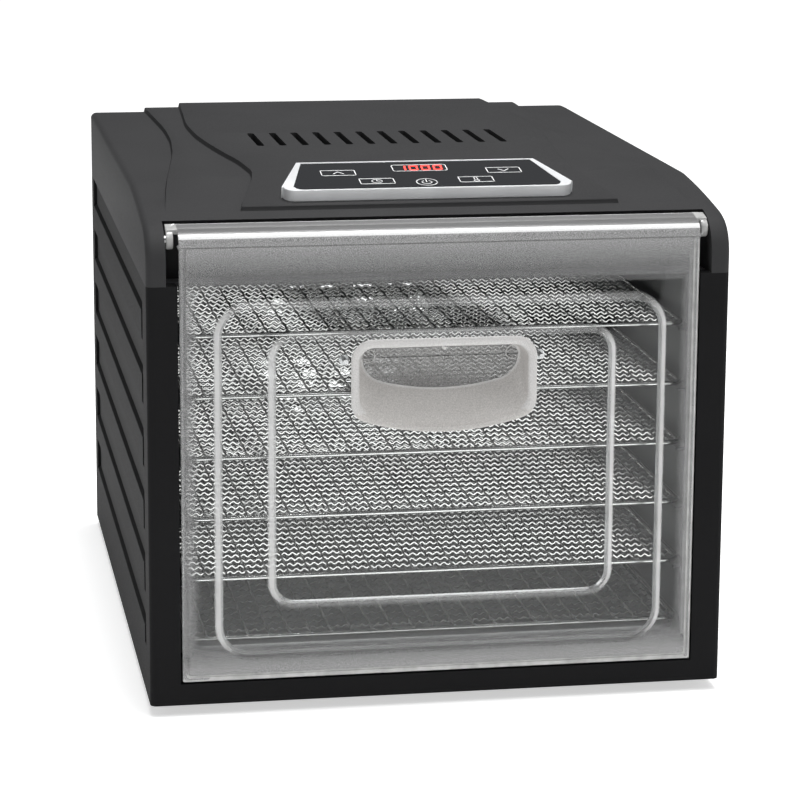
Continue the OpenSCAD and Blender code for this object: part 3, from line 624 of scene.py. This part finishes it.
def door_skin():
    """The sheet's front skin: grooved rim, two steps outwards, the finger hole, and the bent-back flange."""
    bend_z = HINGE_Z - 1.4
    high = bend_z - 2
    loops, kinds = [], []
    # The RIM strips take the pale painted edge light.
    for inset, back, kind in ((0.0, 0.5, RIM), (0.5, 0.0, RIM), (1.1, 0.0, SHEET), (2.4, 0.0, RIM),
                              (2.8, 0.5, RIM), (3.5, 0.5, SHEET), (3.9, 0.0, SHEET)):
        loops.append(sheet_loop(DOOR_HALF - inset, DOOR_LOW + inset, high - 0.1 * inset, 1.4, back))
        kinds.append(kind)
    for step, r, y in ((STEP_ONE, 20, 0), (STEP_TWO, 15, -3.5)):
        loops += step_loops(*step, r, y)
        kinds += [WALL_FACE] * 5 + [SHEET]
    loops.append(scoop_loop(RECESS_W / 2, RECESS_LOW + RECESS_H, RECESS_LOW, 9.4, 10, FACE))
    n = len(loops[0])
    verts = [v for loop in loops for v in loop]
    faces, kind = [], []
    for i in range(len(loops) - 1):
        a, b = i * n, (i + 1) * n
        for k in range(n):
            faces.append((a + k, a + (k + 1) % n, b + (k + 1) % n, b + k))
            z = verts[faces[-1][0]][2]
            along_bottom = i < 4 and z < DOOR_LOW + 3 and abs(verts[a + k][0]) < DOOR_HALF - 3
            if z > high - 2:
                kind.append(SHEET)
            else:
                kind.append(RIM if along_bottom else kinds[i])
    row = sorted((k for k in range(n) if loops[0][k][2] > high - 1.5), key=lambda k: loops[0][k][0])
    xs = [loops[0][k][0] for k in row]
    profile = [(0.0, high + 0.4), (0.0, bend_z)]
    for turn in np.radians(np.linspace(180, 90 + FLANGE_TILT, 10))[1:]:
        profile.append((BEND + BEND * math.cos(turn), bend_z + BEND * math.sin(turn)))
    slope = math.radians(FLANGE_TILT)
    reach = (FLANGE_D - BEND) / math.cos(slope)
    end_y, end_z = profile[-1]
    groove = [(0.3, 0.0), (0.33, 0.25), (0.42, 0.25), (0.45, 0.0)]
    for share, sink in groove + [(0.9, 0.0), (0.97, 0.15), (1.0, 0.6)]:
        run = share * reach
        profile.append((end_y + run * math.cos(slope), end_z + run * math.sin(slope) - sink))
    last = row
    for i, (y, z) in enumerate(profile):
        new = list(range(len(verts), len(verts) + len(xs)))
        verts += [(x, y, z) for x in xs]
        for k in range(len(xs) - 1):
            faces.append((last[k], new[k], new[k + 1], last[k + 1]))
            # The bend and the flange's lip take the painted bend highlight.
            if 5 <= i <= 7 or i >= 16:
                kind.append(BEND_FACE)
            else:
                kind.append(FLANGE_FACE if i > 7 else SHEET)
        last = new
    return verts, faces, kind


def door():
    verts, faces, kind = door_skin()
    # Slots: clear sheet, step walls, painted edge light on the rim, frosted flange, and a painted highlight
    # on the bend and the flange's lip.
    looks = [M["clear_plastic"], step_wall, painted_edge_light, frosted_flange, painted_bend_highlight]
    skin = build("door_sheet", verts, faces, looks)
    for face, index in zip(skin.data.polygons, kind):
        face.material_index = index
    flat = max(skin.data.polygons, key=lambda f: f.area)
    if flat.normal.y > 0:
        skin.data.flip_normals()
    thick = skin.modifiers.new("sheet", "SOLIDIFY")
    thick.thickness = 0.003
    thick.offset = -1
    thick.use_even_offset = True
    applied(skin)
    smooth(skin.data, 40)
    stands_for(skin, "door_panel")


def door_ears():
    """The hinge lugs beside the sheet, cut from the CAD door."""
    bm = bmesh.new()
    bm.from_mesh(frame["nodes"]["door_panel"].data)
    bmesh.ops.remove_doubles(bm, verts=bm.verts, dist=1e-6)
    both = bmesh.new()
    for side in (-1, 1):
        part = bm.copy()
        geom = part.verts[:] + part.edges[:] + part.faces[:]
        edge = (side * DOOR_HALF / 1000, 0, 0)
        bmesh.ops.bisect_plane(part, geom=geom, plane_co=edge, plane_no=(side, 0, 0), clear_inner=True)
        bmesh.ops.holes_fill(part, edges=[e for e in part.edges if e.is_boundary])
        ear = bpy.data.meshes.new("ear")
        part.to_mesh(ear)
        part.free()
        both.from_mesh(ear)
    bm.free()
    mesh = bpy.data.meshes.new("door_ears")
    both.to_mesh(mesh)
    both.free()
    # The lugs take the pale painted edge light.
    obj = to_object("door_ears", mesh, [painted_edge_light])
    bevel = obj.modifiers.new("edges", "BEVEL")
    bevel.width, bevel.segments, bevel.angle_limit = 0.0004, 2, math.radians(40)
    applied(obj)
    smooth(obj.data, 40)
    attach(obj, "door")


def scoop_loop(half, top, low, sag, r, y, low_r=12.0):
    """Outline of the finger scoop: rounded on top, bowed down along its lower edge."""
    points = []
    arc_r = (half * half + sag * sag) / (2 * sag)
    corner_x = half - low_r
    corner_z = low + arc_r - math.sqrt((arc_r - low_r) ** 2 - corner_x ** 2)
    meet = math.atan2(corner_z - low - arc_r, corner_x)
    for x in np.linspace(-arc_r * math.cos(meet), arc_r * math.cos(meet), 25):
        points.append((x, y, low + arc_r - math.sqrt(arc_r * arc_r - x * x)))
    for a in np.linspace(meet, 0, 10)[1:]:
        points.append((corner_x + low_r * math.cos(a), y, corner_z + low_r * math.sin(a)))
    for a in np.radians(np.linspace(0, 90, 11)):
        points.append((half - r + r * math.cos(a), y, top - r + r * math.sin(a)))
    for a in np.radians(np.linspace(90, 180, 11)):
        points.append((-half + r + r * math.cos(a), y, top - r + r * math.sin(a)))
    for a in np.linspace(math.pi, math.pi - meet, 10)[:-1]:
        points.append((-corner_x + low_r * math.cos(a), y, corner_z + low_r * math.sin(a)))
    return points


def scoop():
    top, low = RECESS_LOW + RECESS_H, RECESS_LOW
    half = RECESS_W / 2
    loops = [
        scoop_loop(half - 0.4, top - 0.4, low + 0.4, 9.4, 9.6, FACE),
        scoop_loop(half + 2.8, top + 2.8, low - 2.8, 9.9, 12.4, FACE),
        scoop_loop(half + 3.0, top + 3.0, low - 3.0, 9.9, 12.6, FACE - 0.3),
        scoop_loop(half + 2.5, top + 2.5, low - 2.6, 9.9, 12.2, FACE - 0.9),
        scoop_loop(half + 1.4, top + 1.4, low - 2.2, 9.8, 11.4, FACE - 1.0),
        scoop_loop(half - 0.6, top - 0.6, low - 1.4, 9.7, 9.8, FACE - 0.9),
        scoop_loop(half - 1.5, top - 1.9, low - 0.6, 9.5, 9.0, FACE - 0.3),
        scoop_loop(half - 2.1, top - 2.3, low + 0.8, 9.2, 8.4, FACE + 0.8),
        scoop_loop(half - 2.9, top - 2.6, low + 10.0, 9.0, 7.8, FACE + 6.2, 14),
        scoop_loop(half - 3.8, top - 3.0, low + 18.0, 9.0, 7.0, FACE + 11.6, 16),
        scoop_loop(half - 4.4, top - 3.6, low + 19.4, 8.6, 6.6, FACE + 12.7, 16),
        scoop_loop(half - 5.6, top - 4.8, low + 20.6, 8.2, 6.0, FACE + 13.0, 15),
    ]
    back = [
        scoop_loop(half - 4.0, top - 2.0, low + 18.6, 8.6, 6.6, FACE + 15.0, 16),
        scoop_loop(half - 2.2, top - 0.9, low + 15.4, 9.2, 8.0, FACE + 13.6, 14),
        scoop_loop(half - 0.9, top - 0.5, low + 7.4, 8.6, 9.0, FACE + 6.0),
    ]
    rings = back + loops
    n = len(rings[0])
    verts = [v for ring in rings for v in ring]
    faces = [tuple(range(n)), tuple((len(rings) - 1) * n + k for k in reversed(range(n)))]
    for i in range(len(rings) - 1):
        a, b = i * n, (i + 1) * n
        faces += [(a + k, a + (k + 1) % n, b + (k + 1) % n, b + k) for k in range(n)]
    handle = build("finger_scoop", verts, faces, [M["frosted_plastic"], frosted_rim_painted_highlight, frosted_slope_painted_light], 50)
    # The front faces above the bottom and the small faces where the floor meets the back wall take the
    # painted rim highlight. The rest of the front and the sloping floor take the painted light. The back
    # wall keeps the plain frosted plastic.
    for face in handle.data.polygons:
        _, y, z = face.center * 1000
        y -= FRONT_Y
        on_rim = FACE + 12.4 < y < FACE + 13.05 and face.area < 1e-4
        if on_rim:
            face.material_index = 1
        elif y < FACE + 0.9:
            face.material_index = 1 if z > low + 9 else 2
        elif y < FACE + 12.5:
            face.material_index = 2
    stands_for(handle, "door_handle")
    scoop_marks(top)


def scoop_marks(top):
    """The rings of the two bosses on the scoop's floor, and the gate mark on its rim."""
    marks = []
    for x in (-BOSS_X, BOSS_X):
        ring = [(x + BOSS_R * math.cos(a), FACE + 12.95, BOSS_Z + BOSS_R * math.sin(a))
                for a in np.linspace(0, 2 * math.pi, 32, endpoint=False)]
        marks.append(tube(ring, 0.22, (0, 1, 0), 6, closed=True))
    gate = [(0, FACE + 0.6, top - 1.8), (0, FACE + 1.6, top - 3.2)]
    marks.append(tube(gate, 1.5, (1, 0, 0), 12))
    # The marks take the painted rim highlight.
    raised = build("scoop_marks", *joined(marks), [frosted_rim_painted_highlight], 50)
    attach(raised, "door")


# ---------- Control panel ----------

def on_slope(x, u, h):
    """A place on the plateau's slope, u back from its front edge and h above it."""
    a = math.radians(TILT)
    return (x, SLOPE_Y + u * math.cos(a) - h * math.sin(a), SLOPE_Z + u * math.sin(a) + h * math.cos(a))


def stroke(points, width, closed=False, bottom=GLASS_TOP - 0.05, top=GLASS_TOP + 0.12):
    """Flat bars on the glass along the (x, u) points."""
    parts = []
    ends = list(zip(points, points[1:] + points[:1])) if closed else list(zip(points, points[1:]))
    for (xa, ua), (xb, ub) in ends:
        length = math.hypot(xb - xa, ub - ua)
        dx, du = (xb - xa) / length * width / 2, (ub - ua) / length * width / 2
        corners = [(xa - dx - du, ua - du + dx), (xa - dx + du, ua - du - dx),
                   (xb + dx + du, ub + du - dx), (xb + dx - du, ub + du + dx)]
        verts = [on_slope(x, u, h) for h in (bottom, top) for x, u in corners]
        faces = [(3, 2, 1, 0), (4, 5, 6, 7), (0, 1, 5, 4), (1, 2, 6, 5), (2, 3, 7, 6), (3, 0, 4, 7)]
        parts.append((verts, faces))
    return parts


def rounded_frame(x, u, w, d, r=1.5):
    points = []
    for cx, cu, start in ((x + w / 2 - r, u + d / 2 - r, 0), (x - w / 2 + r, u + d / 2 - r, 90),
                          (x - w / 2 + r, u - d / 2 + r, 180), (x + w / 2 - r, u - d / 2 + r, 270)):
        for a in np.radians([start, start + 45, start + 90]):
            points.append((cx + r * math.cos(a), cu + r * math.sin(a)))
    return points


def circle(x, u, r, count=28, start=0, end=360):
    return [(x + r * math.cos(a), u + r * math.sin(a))
            for a in np.radians(np.linspace(start, end, count, endpoint=end - start < 360))]


def printed(name, parts, material):
    """Marks on the glass, as one piece."""
    obj = build(name, *joined(parts), [material], 30)
    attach(obj, "housing")


def key_marks():
    """Two arrow keys above; timer, power and temperature keys below."""
    marks = []
    for x, up in ((-50.5, 1), (50.5, -1)):
        arrow = [(x - 3, KEYS_UPPER - 1.6 * up), (x, KEYS_UPPER + 1.8 * up), (x + 3, KEYS_UPPER - 1.6 * up)]
        marks += stroke(rounded_frame(x, KEYS_UPPER, KEY_W, KEY_D, 0.8), KEY_LINE, True)
        marks += stroke(arrow, KEY_LINE)
    timer, thermometer, u = -29.5, 30.5, KEYS_LOWER
    for x in (timer, thermometer):
        marks += stroke(rounded_frame(x, u, KEY_W, KEY_D, 0.8), KEY_LINE, True)
    marks += stroke(circle(timer, u, 3.1, 24), ICON_LINE, True)
    marks += stroke([(timer, u + 2.0), (timer, u), (timer + 1.6, u - 0.5)], ICON_LINE)
    for x in (thermometer - 0.9, thermometer + 0.9):
        marks += stroke([(x, u + 3), (x, u - 0.9)], ICON_LINE)
    marks += stroke(circle(thermometer, u + 3, 0.9, 9, 0, 180), ICON_LINE)
    marks += stroke(circle(thermometer, u - 2.1, 1.5, 16), ICON_LINE, True)
    marks += stroke(circle(0, u - 3.4, 6.2, 36), KEY_LINE, True)
    marks += stroke(circle(0, u - 3.6, 2.9, 20, -235, 55), KEY_LINE)
    marks += stroke([(0, u + 1.2), (0, u - 3)], KEY_LINE)
    return marks


def digit(left, lit):
    """The lit bars of one seven-segment digit, which leans a little."""
    w, h = DIGIT_W, DIGIT_H
    bars = {"a": ((0, h), (w, h)), "b": ((w, h), (w, h / 2)), "c": ((w, h / 2), (w, 0)),
            "d": ((0, 0), (w, 0)), "e": ((0, 0), (0, h / 2)), "f": ((0, h / 2), (0, h))}
    lean, gap = 0.06, 0.16
    parts = []
    for bar in lit:
        (x0, u0), (x1, u1) = [(left + x + u * lean, DISPLAY_U - h / 2 + u) for x, u in bars[bar]]
        dx, du = (x1 - x0) * gap, (u1 - u0) * gap
        parts += stroke([(x0 + dx, u0 + du), (x1 - dx, u1 - du)], DIGIT_LINE)
    return parts


def control_panel():
    printed("panel_marks", key_marks(), white_print)
    window = stroke(rounded_frame(0, DISPLAY_U, 33, 11.5, 1.8), 0.5, True)
    printed("display_frame", window, white_print)
    digits = []
    for i, lit in enumerate(("bc", "abcdef", "abcdef", "abcdef")):
        digits += digit(-13.4 + i * DIGIT_PITCH, lit)
    printed("display_digits", digits, red_light)


# ---------- The object ----------

top_cover()
trays()
door()
door_ears()
scoop()
control_panel()
softened("base_shell", "base_tub", 0.7)
softened("left_side_shell", "left_side_panel", 0.6)
softened("right_side_shell", "right_side_panel", 0.6)
softened("rear_shell", "rear_cover", 0.5)
softened("panel_frame", "display_bezel", 1.2, 3)
softened("panel_window", "display_glass", 0.25)
softened("drip_tray", "crumb_tray", 0.35)
softened("foot_pads", "rubber_feet", 0.8)
softened("left_rails", "left_rail_liner", 0.25)
softened("right_rails", "right_rail_liner", 0.25)
for name, obj in frame["nodes"].items():
    obj.data.materials.clear()
    obj.data.materials.append(M[slot_of[name]])

# ---------- Floor, light and camera ----------

def floor():
    """A wide pale floor, which is all that the camera sees behind the object."""
    mesh = bpy.data.meshes.new("floor")
    mesh.from_pydata([(-9, -6, 0), (9, -6, 0), (9, 14, 0), (-9, 14, 0)], [], [(0, 1, 2, 3)])
    mat = surface("floor_paper", (0.9, 0.9, 0.9), 0.8, shade=0.01, specular=0.1)
    shader = [n for n in mat.node_tree.nodes if n.type == "BSDF_PRINCIPLED"][0]
    shader.inputs["Emission Color"].default_value = (1, 1, 1, 1)
    shader.inputs["Emission Strength"].default_value = 0.56
    to_object("floor", mesh, [mat])


def softbox(name, place, aim, size, power):
    lamp = bpy.data.lights.new(name, "AREA")
    lamp.shape = "RECTANGLE"
    lamp.size, lamp.size_y = size
    lamp.energy = power
    obj = bpy.data.objects.new(name, lamp)
    bpy.context.scene.collection.objects.link(obj)
    obj.location = place
    obj.rotation_euler = (Vector(aim) - Vector(place)).to_track_quat("-Z", "Y").to_euler()


def studio():
    floor()
    world = bpy.data.worlds.new("studio")
    world.use_nodes = True
    background = world.node_tree.nodes["Background"]
    background.inputs["Color"].default_value = (0.95, 0.96, 0.98, 1)
    background.inputs["Strength"].default_value = 0.15
    bpy.context.scene.world = world
    sky = bpy.data.lights.new("sky", "SUN")
    sky.energy = 1.3
    sky.angle = math.radians(50)
    sky_obj = bpy.data.objects.new("sky", sky)
    bpy.context.scene.collection.objects.link(sky_obj)
    sky_obj.rotation_euler = Vector((-0.12, 0.25, -1.0)).to_track_quat("-Z", "Y").to_euler()
    softbox("left", place=(-1.7, -1.3, 1.0), aim=(0, -0.1, 0.15), size=(0.2, 1.3), power=4)
    softbox("right", place=(1.9, -0.9, 0.9), aim=(0, -0.1, 0.15), size=(0.3, 1.2), power=6)
    softbox("top", place=(0.1, 0.0, 1.9), aim=(0, 0.0, 0.3), size=(0.9, 0.7), power=32)
    bpy.context.scene.view_settings.view_transform = "Standard"


def camera():
    """The photograph's view: focal length and shift as shares of the picture's width."""
    data = bpy.data.cameras.new("camera")
    data.sensor_width = 36
    data.lens = 2951.7 / 800 * data.sensor_width
    data.shift_y = -60 / 800
    data.clip_start, data.clip_end = 0.05, 30
    obj = bpy.data.objects.new("camera", data)
    bpy.context.scene.collection.objects.link(obj)
    yaw, pitch, roll = (math.radians(a) for a in (9.917, -11.692, 0.344))
    ahead = Vector((math.sin(yaw) * math.cos(pitch), math.cos(yaw) * math.cos(pitch), math.sin(pitch)))
    right = Vector((math.cos(yaw), -math.sin(yaw), 0))
    up = right.cross(ahead)
    rolled_right = right * math.cos(roll) + up * math.sin(roll)
    rolled_up = -right * math.sin(roll) + up * math.cos(roll)
    turn = Matrix((rolled_right, rolled_up, -ahead)).transposed().to_4x4()
    place = (-0.3145, -1.8718, 0.5705)
    obj.matrix_world = Matrix.Translation(place) @ turn
    bpy.context.scene.camera = obj


studio()
camera()
